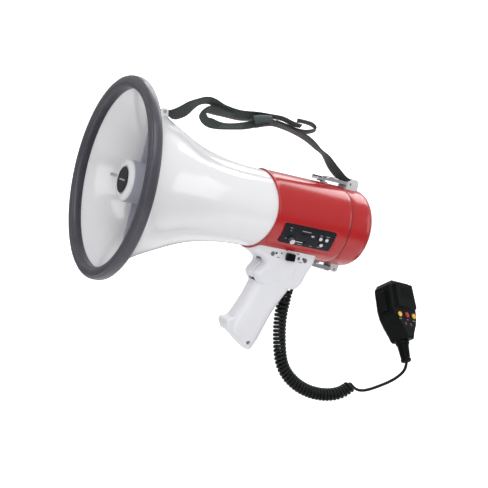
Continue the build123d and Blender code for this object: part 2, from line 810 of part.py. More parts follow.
with BuildPart() as lug_front:
    with BuildSketch(Plane.XZ):
        with BuildLine():
            Polyline(side_points(lug_outline), close=True)
        make_face()
    extrude(amount=12.5, both=True)
    with BuildSketch(Plane.XZ):
        with Locations(on_side(*strap_bar_at)):
            Circle(strap_bore_r)
    extrude(amount=20, both=True, mode=Mode.SUBTRACT)
    with BuildSketch(Plane.XZ):
        with Locations(on_side(38, 91)):
            Rectangle(20, 15)
    extrude(amount=10.2, both=True, mode=Mode.SUBTRACT)
    # seat on the flare
    with BuildSketch(Plane.XZ):
        with BuildLine():
            seat = Spline([on_side(x, radius + 0.15) for x, radius in horn_out])
            Polyline(seat @ 1, on_side(horn_end, 0), on_side(0, 0), seat @ 0)
        make_face()
    revolve(axis=horn_axis, mode=Mode.SUBTRACT)
save(lug_front, "strap_lug_front")

save_cross_pins("strap_bar_front", [(strap_bar_at, strap_bore_r - run_gap, 12.4)])

# strap edges: station, height; the upper runs to the rear, the lower back to the front
strap_upper = [(43, 89), (50, 84), (60, 96.5), (71, 104), (93, 112), (134, 106), (173, 111),
               (217.5, 102.6), (252.7, 87), (276.6, 68.4), (286.8, 63.0)]
strap_lower = [(286.0, 60.6), (275.4, 65.4), (251.3, 84), (216.8, 99.6), (173, 107.5),
               (150, 96.0), (100, 84.0), (84, 84.5), (92, 104.0), (72, 99.5), (62, 92.0),
               (52, 80.6), (46, 84.2)]
save_side_plate("shoulder_strap", strap_upper + strap_lower, 9.5)

# ---------------- coiled cord and its leads ----------------
# paths: station, y, height over the horn axis
cord_path = [(259.0, 10, -91), (253.5, 7, -102), (252.8, 5, -128.6), (258.6, 3, -156),
             (269.5, 1, -181.5), (288.5, 0, -197.5), (313, 0, -206.2), (339, 0, -207),
             (359, 0, -201), (371, 0, -191.5)]
plug_lead_path = [(socket_x, socket_y, -62), (socket_x, socket_y, -68), (266, 15, -79),
                  (260.9, 11.0, -87.3)]
mic_lead_path = [(376.4, 0, -188.3), (384.2, -1, -195.6), (389.5, -2, -194.8),
                 (401.3, -5, -189.2), (410.5, -9, -182.6), (424.6, -15, -169.6),
                 (432.4, -19.0, -157.6)]
save_swept("coiled_cord", cord_r, [(cord_path, (-5.5, -3, -11))])
save_swept("cord_leads", 1.9, [(plug_lead_path, (0, 0, -1)),
                               (mic_lead_path, (7.5, -1, -7.8))])

# ---------------- fist microphone ----------------
# local frame: x across the face, y up along the face, z out of the face
mic_plane = Plane(origin=to_world(423.0, 11.8, -100.6),
                  x_dir=Vector(0.96202, 0.26718, -0.05664),
                  z_dir=Vector(0.25176, -0.7877, 0.5625))
mic_axis = Axis(tuple(mic_plane.origin), mic_plane.y_dir)
mic_outline = [(-20.5, 40), (-14, 46.5), (19, 46.5), (22.5, 42), (23.5, 12), (22, 0),
               (18, -11.5), (11.5, -22), (8, -30), (-6.5, -30), (-10, -22), (-16.5, -11.5),
               (-21.5, 0), (-23, 12)]
# raised block over the upper face
block_outline = [(-20.2, 7.2), (21.2, 8.5), (20.6, 41.5), (18.4, 44.6), (-15, 44.6),
                 (-18.5, 40)]
mic_keys = (("mic_button_left", -14.2, -0.6), ("mic_button_middle", 0.0, 0.0),
            ("mic_button_right", 13.6, 0.0))
mic_half = mic_t / 2


def mic_inset(points, depth):
    # moves each point towards the local point (0, 10)
    moved = []
    for x, y in points:
        reach = math.hypot(x, y - 10)
        moved.append((x - x / reach * depth, y - (y - 10) / reach * depth))
    return moved


def on_mic(x, y, z):
    # plane parallel to the face, through a local point
    return Plane(origin=mic_plane.from_local_coords((x, y, z)), x_dir=mic_plane.x_dir,
                 z_dir=mic_plane.z_dir)


def mic_depth(shape):
    return mic_plane.to_local_coords(shape.center()).Z


# label, direction from the parting plane, parting gap, edge chamfer
for label, sign, gap, bevel in (("mic_shell_back", -1, 0.05, 3.6),
                                ("mic_shell_front", 1, 0, 2.4)):
    with BuildPart() as shell:
        with BuildSketch(mic_plane):
            with BuildLine():
                Polyline(mic_outline, close=True)
            make_face()
        extrude(amount=sign * (mic_half - gap))
        chamfer([e for e in shell.edges() if abs(mic_depth(e)) > mic_half - 0.3], bevel)
        # hollow
        with BuildSketch(mic_plane):
            with BuildLine():
                Polyline(mic_inset(mic_outline, 4.2), close=True)
            make_face()
        extrude(amount=sign * (mic_half - 3.0), mode=Mode.SUBTRACT)
        if sign > 0:
            with BuildSketch(on_mic(0, 0, mic_half - 1.2)):
                with BuildLine():
                    Polyline(block_outline, close=True)
                make_face()
            extrude(amount=5.6, taper=28)
            # key holes, wider inside for the flanges
            for _, x, y in mic_keys:
                for z, radius, depth in ((5, 3.55, 20), (8.9, 4.6, 3.1)):
                    with BuildSketch(on_mic(x, y, z)):
                        Circle(radius)
                    extrude(amount=depth, mode=Mode.SUBTRACT)
            # grille recesses
            with BuildSketch(on_mic(0.8, 28.5, mic_half + 4.4)):
                with GridLocations(4.4, 3.0, 5, 5):
                    Rectangle(3.2, 1.1)
            extrude(amount=-0.9, mode=Mode.SUBTRACT)
        # side opening for the talk bar
        with BuildSketch(on_mic(-23, 20, -6)):
            Rectangle(9, 27)
        extrude(amount=12, mode=Mode.SUBTRACT)
    save(shell, label)

with BuildPart() as talk_bar:
    with BuildSketch(on_mic(-22.6, 20, -5.6)):
        RectangleRounded(6.6, 26.2, 1.4)
    extrude(amount=11.2)
save(talk_bar, "mic_talk_bar")

mic_key_base, mic_key_flange_t = 10.6, 1.3
mic_key_step = mic_key_base + mic_key_flange_t
for label, x, y in mic_keys:
    with BuildPart() as mic_key:
        with BuildSketch(on_mic(x, y, mic_key_base)):
            Circle(4.4)
        extrude(amount=mic_key_flange_t)
        with BuildSketch(on_mic(x, y, mic_key_step)):
            Circle(3.4)
        extrude(amount=mic_half + 1.6 - mic_key_step)
        fillet([e for e in mic_key.edges().filter_by(GeomType.CIRCLE)
                if mic_depth(e) > mic_half + 1], 0.8)
    save(mic_key, label)

with BuildPart() as capsule:
    with BuildSketch(on_mic(1, 27, 1.0)):
        Circle(9)
    extrude(amount=mic_half - 3.2 - 1.0)
save(capsule, "mic_capsule")

# radius, local y
boot_profile = [(0, -30.3), (7.6, -30.3), (8.6, -31.5), (8.6, -34), (7.4, -35.5),
                (6.0, -53), (6.6, -54), (6.4, -56.6), (5.0, -57.4), (0, -57.4)]
with BuildPart() as boot:
    with BuildSketch(mic_plane):
        with BuildLine():
            Polyline(boot_profile, close=True)
        make_face()
    revolve(axis=mic_axis)
    # six grooves that follow the boot's taper
    for i in range(6):
        with BuildSketch(mic_plane):
            with Locations((7.6 - 0.25 * i, -37.4 - 2.9 * i)):
                Rectangle(1.7, 1.3)
        revolve(axis=mic_axis, mode=Mode.SUBTRACT)
save(boot, "mic_cord_boot")
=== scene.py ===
"""Hand megaphone: white horn, red housing and rear cap, grip, shoulder strap and a
microphone on a coiled cord.

The horn axis runs along X. Stations grow from the mouth plane towards the rear (+X),
-Y is the side facing the camera and Z is up. Shapes are given in mm, as station, side
and height over the horn axis. The scene is in metres.
"""
import json
import math

import bmesh
import bpy
import numpy as np
from mathutils import Matrix, Vector

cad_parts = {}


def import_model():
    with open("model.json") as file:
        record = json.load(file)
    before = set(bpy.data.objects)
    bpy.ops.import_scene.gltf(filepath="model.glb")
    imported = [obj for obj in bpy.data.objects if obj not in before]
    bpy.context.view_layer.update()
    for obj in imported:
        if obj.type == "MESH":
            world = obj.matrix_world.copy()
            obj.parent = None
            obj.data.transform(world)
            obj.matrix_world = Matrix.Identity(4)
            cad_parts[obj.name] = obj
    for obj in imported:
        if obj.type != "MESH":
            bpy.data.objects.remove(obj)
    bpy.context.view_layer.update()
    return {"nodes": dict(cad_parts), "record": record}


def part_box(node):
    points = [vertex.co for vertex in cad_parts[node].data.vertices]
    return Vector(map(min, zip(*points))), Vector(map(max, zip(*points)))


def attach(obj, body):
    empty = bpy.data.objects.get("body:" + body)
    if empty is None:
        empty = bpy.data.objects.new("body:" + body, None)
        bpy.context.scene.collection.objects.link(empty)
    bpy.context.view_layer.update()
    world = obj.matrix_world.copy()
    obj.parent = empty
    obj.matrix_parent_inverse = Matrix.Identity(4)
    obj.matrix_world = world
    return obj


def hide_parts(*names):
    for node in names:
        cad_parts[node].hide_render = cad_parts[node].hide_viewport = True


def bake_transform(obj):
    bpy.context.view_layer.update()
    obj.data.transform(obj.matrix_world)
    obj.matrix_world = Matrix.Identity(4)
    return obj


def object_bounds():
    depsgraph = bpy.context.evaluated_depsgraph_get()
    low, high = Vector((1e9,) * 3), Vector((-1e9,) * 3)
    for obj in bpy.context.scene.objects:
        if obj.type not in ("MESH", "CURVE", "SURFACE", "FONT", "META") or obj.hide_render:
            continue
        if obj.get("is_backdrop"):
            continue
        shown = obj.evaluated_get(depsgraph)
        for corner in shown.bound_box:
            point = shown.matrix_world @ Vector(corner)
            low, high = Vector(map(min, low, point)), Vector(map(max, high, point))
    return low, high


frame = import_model()
NODES = frame["nodes"]

rim_low, rim_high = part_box("bell_rim")
AXIS_X = (rim_low[0] + rim_high[0]) / 2  # mouth plane
AXIS_Z = (rim_low[2] + rim_high[2]) / 2  # height of the horn axis

SKIN_R = 47.0  # outer radius of the red housing
# Direction from the object to the camera
CAMERA_BACK = (-0.4605, -0.8850, 0.0698)
X_DIR = Vector((1, 0, 0))


def place(x, y, z):
    """Scene point of a station, side and height in mm."""
    return Vector((AXIS_X + x / 1000, y / 1000, AXIS_Z + z / 1000))


def outward(angle):
    """Direction out of the body on the -Y side, in degrees below horizontal."""
    angle = math.radians(angle)
    return Vector((0, -math.cos(angle), -math.sin(angle)))


def on_body(x, angle, radius):
    direction = outward(angle)
    return place(x, direction.y * radius, direction.z * radius)


# ------------------------------------------------------------ materials
MAT = {}


class Nodes:
    """A cleared node tree with its output node."""

    def __init__(self, owner, output):
        owner.use_nodes = True
        self.tree = owner.node_tree
        self.tree.nodes.clear()
        self.output = self.add(output)

    def add(self, kind):
        return self.tree.nodes.new(kind)

    def feed(self, socket, value):
        """Link a socket, or set a plain value."""
        if isinstance(value, bpy.types.NodeSocket):
            self.tree.links.new(value, socket)
        else:
            socket.default_value = value

    def join(self, kind, *values):
        """Add a node, feed its inputs in order and return its first output."""
        node = self.add(kind)
        for socket, value in zip(node.inputs, values):
            self.feed(socket, value)
        return node.outputs[0]

    def math(self, operation, *values):
        result = self.join("ShaderNodeMath", *values)
        result.node.operation = operation
        return result

    def remap(self, value, from_min, from_max, to_min, to_max):
        return self.join("ShaderNodeMapRange", value, from_min, from_max, to_min, to_max)

    def camera_ray(self):
        return self.add("ShaderNodeLightPath").outputs["Is Camera Ray"]


class Surface(Nodes):
    """A principled material, entered in MAT under its name."""

    def __init__(self, name):
        MAT[name] = bpy.data.materials.new(name)
        super().__init__(MAT[name], "ShaderNodeOutputMaterial")
        self.shader = self.add("ShaderNodeBsdfPrincipled")
        self.feed(self.output.inputs[0], self.shader.outputs[0])
        self.coords = self.add("ShaderNodeTexCoord").outputs["Object"]
        self.normal = None

    def set(self, **values):
        """Feed shader inputs; Base_Color stands for 'Base Color'."""
        for key, value in values.items():
            self.feed(self.shader.inputs[key.replace("_", " ")], value)

    def noise(self, scale, detail, stretch=None):
        texture = self.add("ShaderNodeTexNoise")
        texture.inputs["Scale"].default_value = scale
        texture.inputs["Detail"].default_value = detail
        texture.inputs["Roughness"].default_value = 0.55
        vector = self.coords
        if stretch:
            mapping = self.add("ShaderNodeMapping")
            mapping.inputs["Scale"].default_value = stretch
            self.feed(mapping.inputs[0], vector)
            vector = mapping.outputs[0]
        self.feed(texture.inputs["Vector"], vector)
        return texture.outputs["Fac"]

    def mix(self, factor, first, second, blend="MIX"):
        """Mix two colours, each an RGB tuple or a socket."""
        node = self.add("ShaderNodeMix")
        node.data_type = "RGBA"
        node.blend_type = blend
        self.feed(node.inputs["Factor"], factor)
        for key, colour in (("A", first), ("B", second)):
            if isinstance(colour, tuple):
                colour = (*colour, 1)
            self.feed(node.inputs[key], colour)
        return node.outputs["Result"]

    def bump(self, height, strength, distance):
        """Add a bump on top of the earlier ones."""
        node = self.add("ShaderNodeBump")
        node.inputs["Strength"].default_value = strength
        node.inputs["Distance"].default_value = distance
        self.feed(node.inputs["Height"], height)
        if self.normal:
            self.feed(node.inputs["Normal"], self.normal)
        self.normal = node.outputs[0]
        self.set(Normal=self.normal)

    def edge_wear(self, colour, light, amount):
        """Lighten the convex edges."""
        pointiness = self.add("ShaderNodeNewGeometry").outputs["Pointiness"]
        return self.mix(self.remap(pointiness, 0.53, 0.60, 0.0, amount), colour, light)

    def uneven_roughness(self, noise, low, high):
        self.set(Roughness=self.remap(noise, 0.3, 0.7, low, high))


def plastic(name, colour, rough, coat=0.0, vary=0.04, grain=0.0, grain_scale=2500, peel=0.0,
            metal=0.0, spec=0.5, wear=None):
    """vary: colour spread; grain: fine bump; peel: broad soft bump; wear: edge colour."""
    m = Surface(name)
    dark = tuple(v * (1 - vary) for v in colour)
    light = tuple(min(v * (1 + vary), 1) for v in colour)
    base = m.mix(m.noise(35, 5), dark, light)
    if wear:
        base = m.edge_wear(base, wear, amount=0.45)
    m.set(Base_Color=base, Metallic=metal, Specular_IOR_Level=spec)
    m.uneven_roughness(m.noise(90, 6), rough * 0.88, rough * 1.15)
    if coat:
        m.set(Coat_Weight=coat, Coat_Roughness=0.06)
    if peel:
        m.bump(m.noise(260, 2), strength=peel, distance=0.0003)
    if grain:
        m.bump(m.noise(grain_scale, 2), strength=grain, distance=0.00012)


def metal(name, colour, rough, scratch=0.15, stretch=(1, 1, 1)):
    m = Surface(name)
    m.set(Base_Color=m.mix(m.noise(60, 5), tuple(v * 0.86 for v in colour), colour),
          Metallic=1.0)
    m.uneven_roughness(m.noise(900, 4, stretch), rough * 0.6, rough * 1.5)
    m.bump(m.noise(900, 3, stretch), strength=scratch, distance=0.00006)


def rim_rubber():
    m = Surface("rim_rubber")
    base = m.mix(m.noise(48, 6), (0.036, 0.035, 0.046), (0.070, 0.068, 0.086))
    m.set(Base_Color=m.edge_wear(base, (0.11, 0.105, 0.125), amount=0.15),
          Specular_IOR_Level=0.55)
    m.uneven_roughness(m.noise(160, 5), 0.28, 0.40)
    m.bump(m.noise(120, 3), strength=0.06, distance=0.0005)
    m.bump(m.noise(2300, 2), strength=0.15, distance=0.0001)


def cord_black():
    m = Surface("cord_black")
    m.set(Base_Color=m.mix(m.noise(150, 4), (0.003, 0.0042, 0.0042), (0.008, 0.0105, 0.0105)),
          Specular_IOR_Level=0.20)
    m.uneven_roughness(m.noise(400, 4), 0.26, 0.40)
    m.bump(m.noise(1800, 2), strength=0.2, distance=0.0001)


def strap_web():
    """Woven webbing; U runs along the strap and V across, both in mm."""
    m = Surface("strap_web")
    thread_pitch = 1.5
    uv_map = m.add("ShaderNodeUVMap")
    uv_map.uv_map = "UVMap"
    split = m.add("ShaderNodeSeparateXYZ")
    m.feed(split.inputs[0], uv_map.outputs[0])
    along, across = split.outputs[0], split.outputs[1]

    def wave(distance, pitch):
        return m.math("SINE", m.math("MULTIPLY_ADD", distance, 1 / pitch * 2 * math.pi, 0.0))

    weave = m.math("MULTIPLY", wave(along, thread_pitch), wave(across, thread_pitch))
    height = m.math("MULTIPLY_ADD", wave(along, thread_pitch / 2), 0.25, weave)
    base = m.mix(m.remap(height, -1.2, 1.2, 0, 1),
                 (0.012, 0.019, 0.016), (0.044, 0.062, 0.054))
    blotches = m.mix(m.noise(70, 5), (0.6, 0.6, 0.6), (1.0, 1.0, 1.0))
    m.set(Base_Color=m.mix(0.5, base, blotches, blend="MULTIPLY"),
          Roughness=0.72, Sheen_Weight=0.25, Sheen_Roughness=0.4)
    m.bump(height, strength=0.55, distance=0.00022)
    m.bump(m.noise(3500, 2), strength=0.25, distance=0.00008)


def stitch_thread():
    m = Surface("stitch_thread")
    m.set(Base_Color=m.mix(m.noise(2000, 3), (0.10, 0.115, 0.105), (0.20, 0.22, 0.20)),
          Roughness=0.6)
    m.bump(m.noise(5000, 2), strength=0.4, distance=0.00006)


plastic("horn_white", (0.80, 0.80, 0.815), rough=0.15, coat=0.6, vary=0.012, peel=0.02)
# fin_grey: the horn's white painted purple-grey as painted shade, for parts deep inside the
# horn
plastic("fin_grey", (0.36, 0.36, 0.42), rough=0.30, vary=0.05, grain=0.10)
plastic("badge_black", (0.006, 0.006, 0.008), rough=0.14, coat=0.15, spec=0.15, vary=0.2,
        peel=0.02)
plastic("housing_red", (0.43, 0.010, 0.012), rough=0.22, coat=0.30, spec=0.4, peel=0.025)
plastic("gasket_black", (0.02, 0.008, 0.008), rough=0.5, vary=0.1, grain=0.2)
plastic("holder_black", (0.03, 0.03, 0.032), rough=0.5, vary=0.1, grain=0.25)
plastic("panel_black", (0.010, 0.011, 0.016), rough=0.45, spec=0.17, vary=0.15, grain=0.35,
        grain_scale=4200)
plastic("grip_white", (0.78, 0.785, 0.82), rough=0.38, vary=0.015, grain=0.14,
        grain_scale=2600)
plastic("trigger_white", (0.76, 0.765, 0.80), rough=0.30, vary=0.015, grain=0.06)
plastic("switch_black", (0.006, 0.006, 0.007), rough=0.42, spec=0.12, vary=0.15, grain=0.3)
plastic("bracket_white", (0.66, 0.675, 0.70), rough=0.30, vary=0.03, grain=0.08)
plastic("mic_black", (0.0045, 0.0058, 0.0055), rough=0.38, spec=0.05, vary=0.2, grain=0.35,
        grain_scale=3000, wear=(0.013, 0.015, 0.0145))
plastic("mic_grille", (0.005, 0.006, 0.006), rough=0.5, vary=0.2, grain=0.4)
plastic("mic_facet", (0.022, 0.026, 0.025), rough=0.36, vary=0.12, grain=0.3)
plastic("key_yellow", (0.78, 0.47, 0.05), rough=0.32, vary=0.06, grain=0.1)
plastic("key_red", (0.42, 0.012, 0.022), rough=0.32, vary=0.06, grain=0.1)
plastic("key_dim", (0.10, 0.010, 0.012), rough=0.35, vary=0.1, grain=0.1)
plastic("mark_grey", (0.34, 0.35, 0.38), rough=0.5, vary=0.08, grain=0.2)
plastic("mark_white", (0.62, 0.63, 0.64), rough=0.45, vary=0.08, grain=0.2)
plastic("board_green", (0.01, 0.09, 0.03), rough=0.35, vary=0.2, grain=0.2)
plastic("battery", (0.03, 0.06, 0.10), rough=0.3, vary=0.1, peel=0.03)
plastic("diaphragm", (0.7, 0.7, 0.68), rough=0.3, vary=0.03, metal=1.0)
plastic("driver_magnet", (0.03, 0.03, 0.032), rough=0.6, vary=0.2, grain=0.4)
metal("latch_chrome", (0.72, 0.73, 0.76), rough=0.12)
metal("key_silver", (0.60, 0.60, 0.62), rough=0.30, scratch=0.1)
metal("port_steel", (0.70, 0.70, 0.72), rough=0.28, scratch=0.2, stretch=(1, 8, 8))
metal("screw_steel", (0.36, 0.36, 0.40), rough=0.34, scratch=0.3)
metal("driver_metal", (0.45, 0.45, 0.46), rough=0.35, scratch=0.3)
metal("contact_brass", (0.75, 0.55, 0.25), rough=0.3, scratch=0.2)
rim_rubber()
cord_black()
strap_web()
stitch_thread()
plastic("strap_sleeve", (0.050, 0.066, 0.070), rough=0.5, vary=0.15, grain=0.4,
        grain_scale=1400)
# Near-black metal for the two ports: painted shade in their recessed openings, not the steel's
# own colour
metal("port_painted_shade", (0.045, 0.045, 0.05), rough=0.40, scratch=0.2)
plastic("mark_ink", (0.07, 0.07, 0.08), rough=0.5, vary=0.1, grain=0.2)


def dress_cad():
    """Give each CAD piece the material of its slot; the two ports get a near-black metal as
    painted shade in their openings.
    """
    look = {part["node"]: part["material_slot"] for part in frame["record"]["subparts"]}
    look.update(usb_port="port_painted_shade", sd_slot="port_painted_shade")
    for name, obj in NODES.items():
        if len(obj.material_slots):
            for slot in obj.material_slots:
                slot.material = MAT[look[name]]
        else:
            obj.data.materials.append(MAT[look[name]])


# ------------------------------------------------------------ mesh helpers
def mesh_obj(name, verts, faces, material, body, smooth=True, uv=None):
    """Mesh that rides on a body, unless that is None; the slot defaults to the material."""
    mesh = bpy.data.meshes.new(name)
    mesh.from_pydata([tuple(v) for v in verts], [], faces)
    mesh.update()
    if uv is not None:
        layer = mesh.uv_layers.new(name="UVMap")
        for loop in mesh.loops:
            layer.data[loop.index].uv = uv[loop.vertex_index]
    obj = bpy.data.objects.new(name, mesh)
    bpy.context.scene.collection.objects.link(obj)
    bm = bmesh.new()
    bm.from_mesh(mesh)
    bmesh.ops.recalc_face_normals(bm, faces=bm.faces)
    bm.to_mesh(mesh)
    bm.free()
    if smooth:
        for polygon in mesh.polygons:
            polygon.use_smooth = True
    mesh.materials.append(MAT[material])
    if body:
        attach(obj, body)
    return obj


def grid_faces(rows, count, wrap_rows=True, wrap_count=False):
    """Quads over rows of count points each."""
    faces = []
    for j in range(rows if wrap_rows else rows - 1):
        here, there = j * count, (j + 1) % rows * count
        for i in range(count if wrap_count else count - 1):
            after = (i + 1) % count
            faces.append((here + i, here + after, there + after, there + i))
    return faces


def sharpen(obj, degrees):
    """Mark the edges that turn more than the angle as sharp."""
    bm = bmesh.new()
    bm.from_mesh(obj.data)
    for edge in bm.edges:
        if len(edge.link_faces) == 2 and edge.calc_face_angle(0) > math.radians(degrees):
            edge.smooth = False
    bm.to_mesh(obj.data)
    bm.free()


def curve_through(points, samples):
    """Natural cubic through the points by chord length."""
    p = np.array(points, float)
    knots = np.r_[0, np.cumsum(np.linalg.norm(np.diff(p, axis=0), axis=1))]
    count = len(p)
    matrix = np.zeros((count, count))
    right = np.zeros((count, p.shape[1]))
    matrix[0, 0] = matrix[-1, -1] = 1
    h = np.diff(knots)
    for i in range(1, count - 1):
        matrix[i, i - 1] = h[i - 1]
        matrix[i, i] = 2 * (h[i - 1] + h[i])
        matrix[i, i + 1] = h[i]
        right[i] = 6 * ((p[i + 1] - p[i]) / h[i] - (p[i] - p[i - 1]) / h[i - 1])
    bend = np.linalg.solve(matrix, right)
    lengths = np.linspace(0, knots[-1], samples)
    spans = np.clip(np.searchsorted(knots, lengths) - 1, 0, count - 2)
    result = []
    for s, i in zip(lengths, spans):
        ahead, behind = knots[i + 1] - s, s - knots[i]
        result.append(bend[i] * ahead ** 3 / (6 * h[i])
                      + bend[i + 1] * behind ** 3 / (6 * h[i])
                      + (p[i] / h[i] - bend[i] * h[i] / 6) * ahead
                      + (p[i + 1] / h[i] - bend[i + 1] * h[i] / 6) * behind)
    return np.array(result)


def path_lengths(path):
    return np.r_[0, np.cumsum(np.linalg.norm(np.diff(path, axis=0), axis=1))]


def turns_of(count):
    return [2 * math.pi * i / count for i in range(count)]


def lathe(name, profile, material, body, segments, sharp=None):
    """Turn a closed (station, radius) profile about the horn axis."""
    verts = [place(x, r * math.cos(a), r * math.sin(a))
             for a in turns_of(segments) for x, r in profile]
    faces = grid_faces(segments, len(profile), wrap_count=True)
    obj = mesh_obj(name, verts, faces, material, body)
    if sharp:
        sharpen(obj, sharp)
    return obj


def turned(name, base, axis, profile, material, body, segments):
    """Turn an open (radius, height) profile about any axis and cap both ends."""
    axis = Vector(axis).normalized()
    u = axis.orthogonal().normalized()
    w = axis.cross(u)
    verts = [base + (u * math.cos(a) + w * math.sin(a)) * max(r, 0.01) / 1000 + axis * h / 1000
             for a in turns_of(segments) for r, h in profile]
    count = len(profile)
    faces = grid_faces(segments, count)
    faces.append(tuple(j * count for j in range(segments)))
    faces.append(tuple(j * count + count - 1 for j in range(segments)))
    mesh_obj(name, verts, faces, material, body)


def tube(name, path, radius, material, body, sides):
    """Capped tube along scene points; radius in mm, one value or one for each point."""
    radii = np.broadcast_to(radius, len(path))
    previous = (path[1] - path[0]).normalized()
    u = previous.orthogonal().normalized()
    verts = []
    for i, point in enumerate(path):
        tangent = (path[min(i + 1, len(path) - 1)] - path[max(i - 1, 0)]).normalized()
        u = (previous.rotation_difference(tangent) @ u).normalized()
        u = (u - tangent * u.dot(tangent)).normalized()
        previous = tangent
        w = tangent.cross(u)
        for a in turns_of(sides):
            verts.append(point + (u * math.cos(a) + w * math.sin(a)) * (radii[i] / 1000))
    faces = grid_faces(len(path), sides, wrap_rows=False, wrap_count=True)
    faces.append(tuple(range(sides - 1, -1, -1)))
    faces.append(tuple((len(path) - 1) * sides + s for s in range(sides)))
    return mesh_obj(name, verts, faces, material, body)


def prism(name, outline, origin, x_dir, y_dir, heights, material, body, bevel, segments):
    """Flat outline raised between two heights, all in mm; the bevel width is in metres."""
    x_dir, y_dir = Vector(x_dir).normalized(), Vector(y_dir).normalized()
    z_dir = x_dir.cross(y_dir)
    verts = [origin + x_dir * x / 1000 + y_dir * y / 1000 + z_dir * z / 1000
             for z in heights for x, y in outline]
    k = len(outline)
    faces = [tuple(range(k - 1, -1, -1)), tuple(range(k, 2 * k))]
    faces += [(i, (i + 1) % k, k + (i + 1) % k, k + i) for i in range(k)]
    obj = mesh_obj(name, verts, faces, material, body, smooth=False)
    modifier = obj.modifiers.new("bevel", "BEVEL")
    modifier.width = bevel
    modifier.segments = segments
    modifier.limit_method = "ANGLE"
    modifier.angle_limit = math.radians(30)


def bar(width, height):
    x, y = width / 2, height / 2
    return [(-x, -y), (x, -y), (x, y), (-x, y)]


def dot(radius):
    return [(radius * math.cos(a), radius * math.sin(a)) for a in turns_of(20)]


# ------------------------------------------------------------ horn and rim
HORN_WALL = 2.4
# (station, radius) of the outer surface
HORN_OUTER = [(4.5, 106.3), (12, 99.2), (30, 86.3), (60, 71.1), (95, 56.5), (130, 48.6),
              (160, 45.9), (188.5, 45.6)]
HORN_COLLAR = [(188.6, 44.0), (203, 44.0), (203, 42.1), (188.6, 42.1)]


def inset(points, distance):
    """Shift a (station, radius) line towards the axis."""
    result = []
    for i, (x, r) in enumerate(points):
        before, after = points[max(i - 1, 0)], points[min(i + 1, len(points) - 1)]
        dx, dr = after[0] - before[0], after[1] - before[1]
        length = math.hypot(dx, dr)
        result.append((x + dr / length * distance, r - dx / length * distance))
    return result


def horn():
    outer = [tuple(p) for p in curve_through(HORN_OUTER, 90)]
    inner = [tuple(p) for p in curve_through(inset(HORN_OUTER, HORN_WALL), 90)]
    skin = lathe("horn_bell_skin", outer + HORN_COLLAR + inner[::-1], "horn_white", "body",
                 segments=288, sharp=40)
    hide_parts("horn_bell")


def bell_rim():
    """Squarish ring with four shallow grooves along it."""
    ring_radius, section_radius = 107.8, 7.15
    power = 2 / 2.7  # 1 would make a round section
    groove_angles, groove_depth, groove_width = (42, 138, -42, 222), 0.6, 5.0
    profile = []
    for a in turns_of(120):
        c, s = math.cos(a), math.sin(a)
        x = section_radius * math.copysign(abs(c) ** power, c)
        y = section_radius * math.copysign(abs(s) ** power, s)
        groove = 0.0
        for angle in groove_angles:
            away = (math.degrees(a) - angle + 180) % 360 - 180
            groove += groove_depth * math.exp(-(away / groove_width) ** 2)
        scale = 1 - groove / math.hypot(x, y)
        profile.append((x * scale, ring_radius + y * scale))
    skin = lathe("bell_rim_skin", profile, "rim_rubber", "body", segments=288)
    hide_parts("bell_rim")


# ------------------------------------------------------------ reflector barrel
def reflector_barrel():
    """Barrel in the horn with a rolled front edge, a badge, and a grey sleeve over its white
    side as painted shade.
    """
    front_x, rear_x, rear_radius = 17, 92, 25.0
    roll, roll_centre = 5, 18.5
    front_radius = roll_centre + roll
    profile = [(rear_x, rear_radius)]
    for x in (70, 45, 24):
        share = (x - front_x) / (rear_x - front_x)
        profile.append((x, front_radius + share * (rear_radius - front_radius)))
    for i in range(9):
        a = math.pi / 2 * i / 8
        profile.append((front_x - roll * math.sin(a), roll_centre + roll * math.cos(a)))
    # Recessed front face, then back along the inner wall
    profile += [(11.95, 17.0), (12.1, 16.2), (12.9, 15.5), (14.3, 15.35), (14.5, 14), (15, 0.2),
                (16, 0.2), (17, 18), (19, 21.2), (60, 22), (92, 23.2)]
    barrel = lathe("reflector_barrel_skin", profile, "horn_white", "body", 128, sharp=50)
    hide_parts("reflector_barrel")
    # The grey sleeve is painted shade: the barrel side is the horn's white and only looks grey
    # in the shade inside the horn
    sleeve = [(16.4, 23.62), (16.9, 23.84), (45, 24.42), (70, 24.9), (91.8, 25.32),
              (91.8, 25.0), (70, 24.6), (45, 24.1), (16.4, 23.4)]
    lathe("reflector_barrel_shade_sleeve", sleeve, "fin_grey", "body", 128, sharp=50)
    ring = [(14.9, 0.0), (15.3, 0.6), (15.3, 1.6), (14.9, 2.0), (14.3, 1.9), (14.1, 1.4),
            (14.1, 0)]
    turned("badge_rim", place(14.0, 0, 0), (-1, 0, 0), ring, "key_silver", "body", 72)
    prism("badge_bar", bar(15, 1.8), place(11.25, 0, 0), (0, -1, 0), (0, 0, 1), (-0.15, 0.25),
          "mark_grey", "body", bevel=0.0001, segments=2)


# ------------------------------------------------------------ red housing and rear cap
# Control panel opening: stations, then angles below horizontal on the -Y side
PANEL_X = (201.0, 270.0)
PANEL_ANGLES = (8.0, 40.0)
PANEL_GAP = 0.3  # added inside each limit, in mm or degrees
# The front edge is an arc seen from above
EDGE_X, EDGE_ARC_R = 179, 135
HOUSING_REAR_X = 286.55
# (distance behind the front edge, radius) of the rolled lip
LIP = [(3.0, 45.76), (0.4, 45.78), (0.02, 46.1), (0.05, 46.9), (0.45, 47.4), (1.2, 47.52),
       (2.0, 47.4), (2.7, 47.08), (3.4, SKIN_R)]


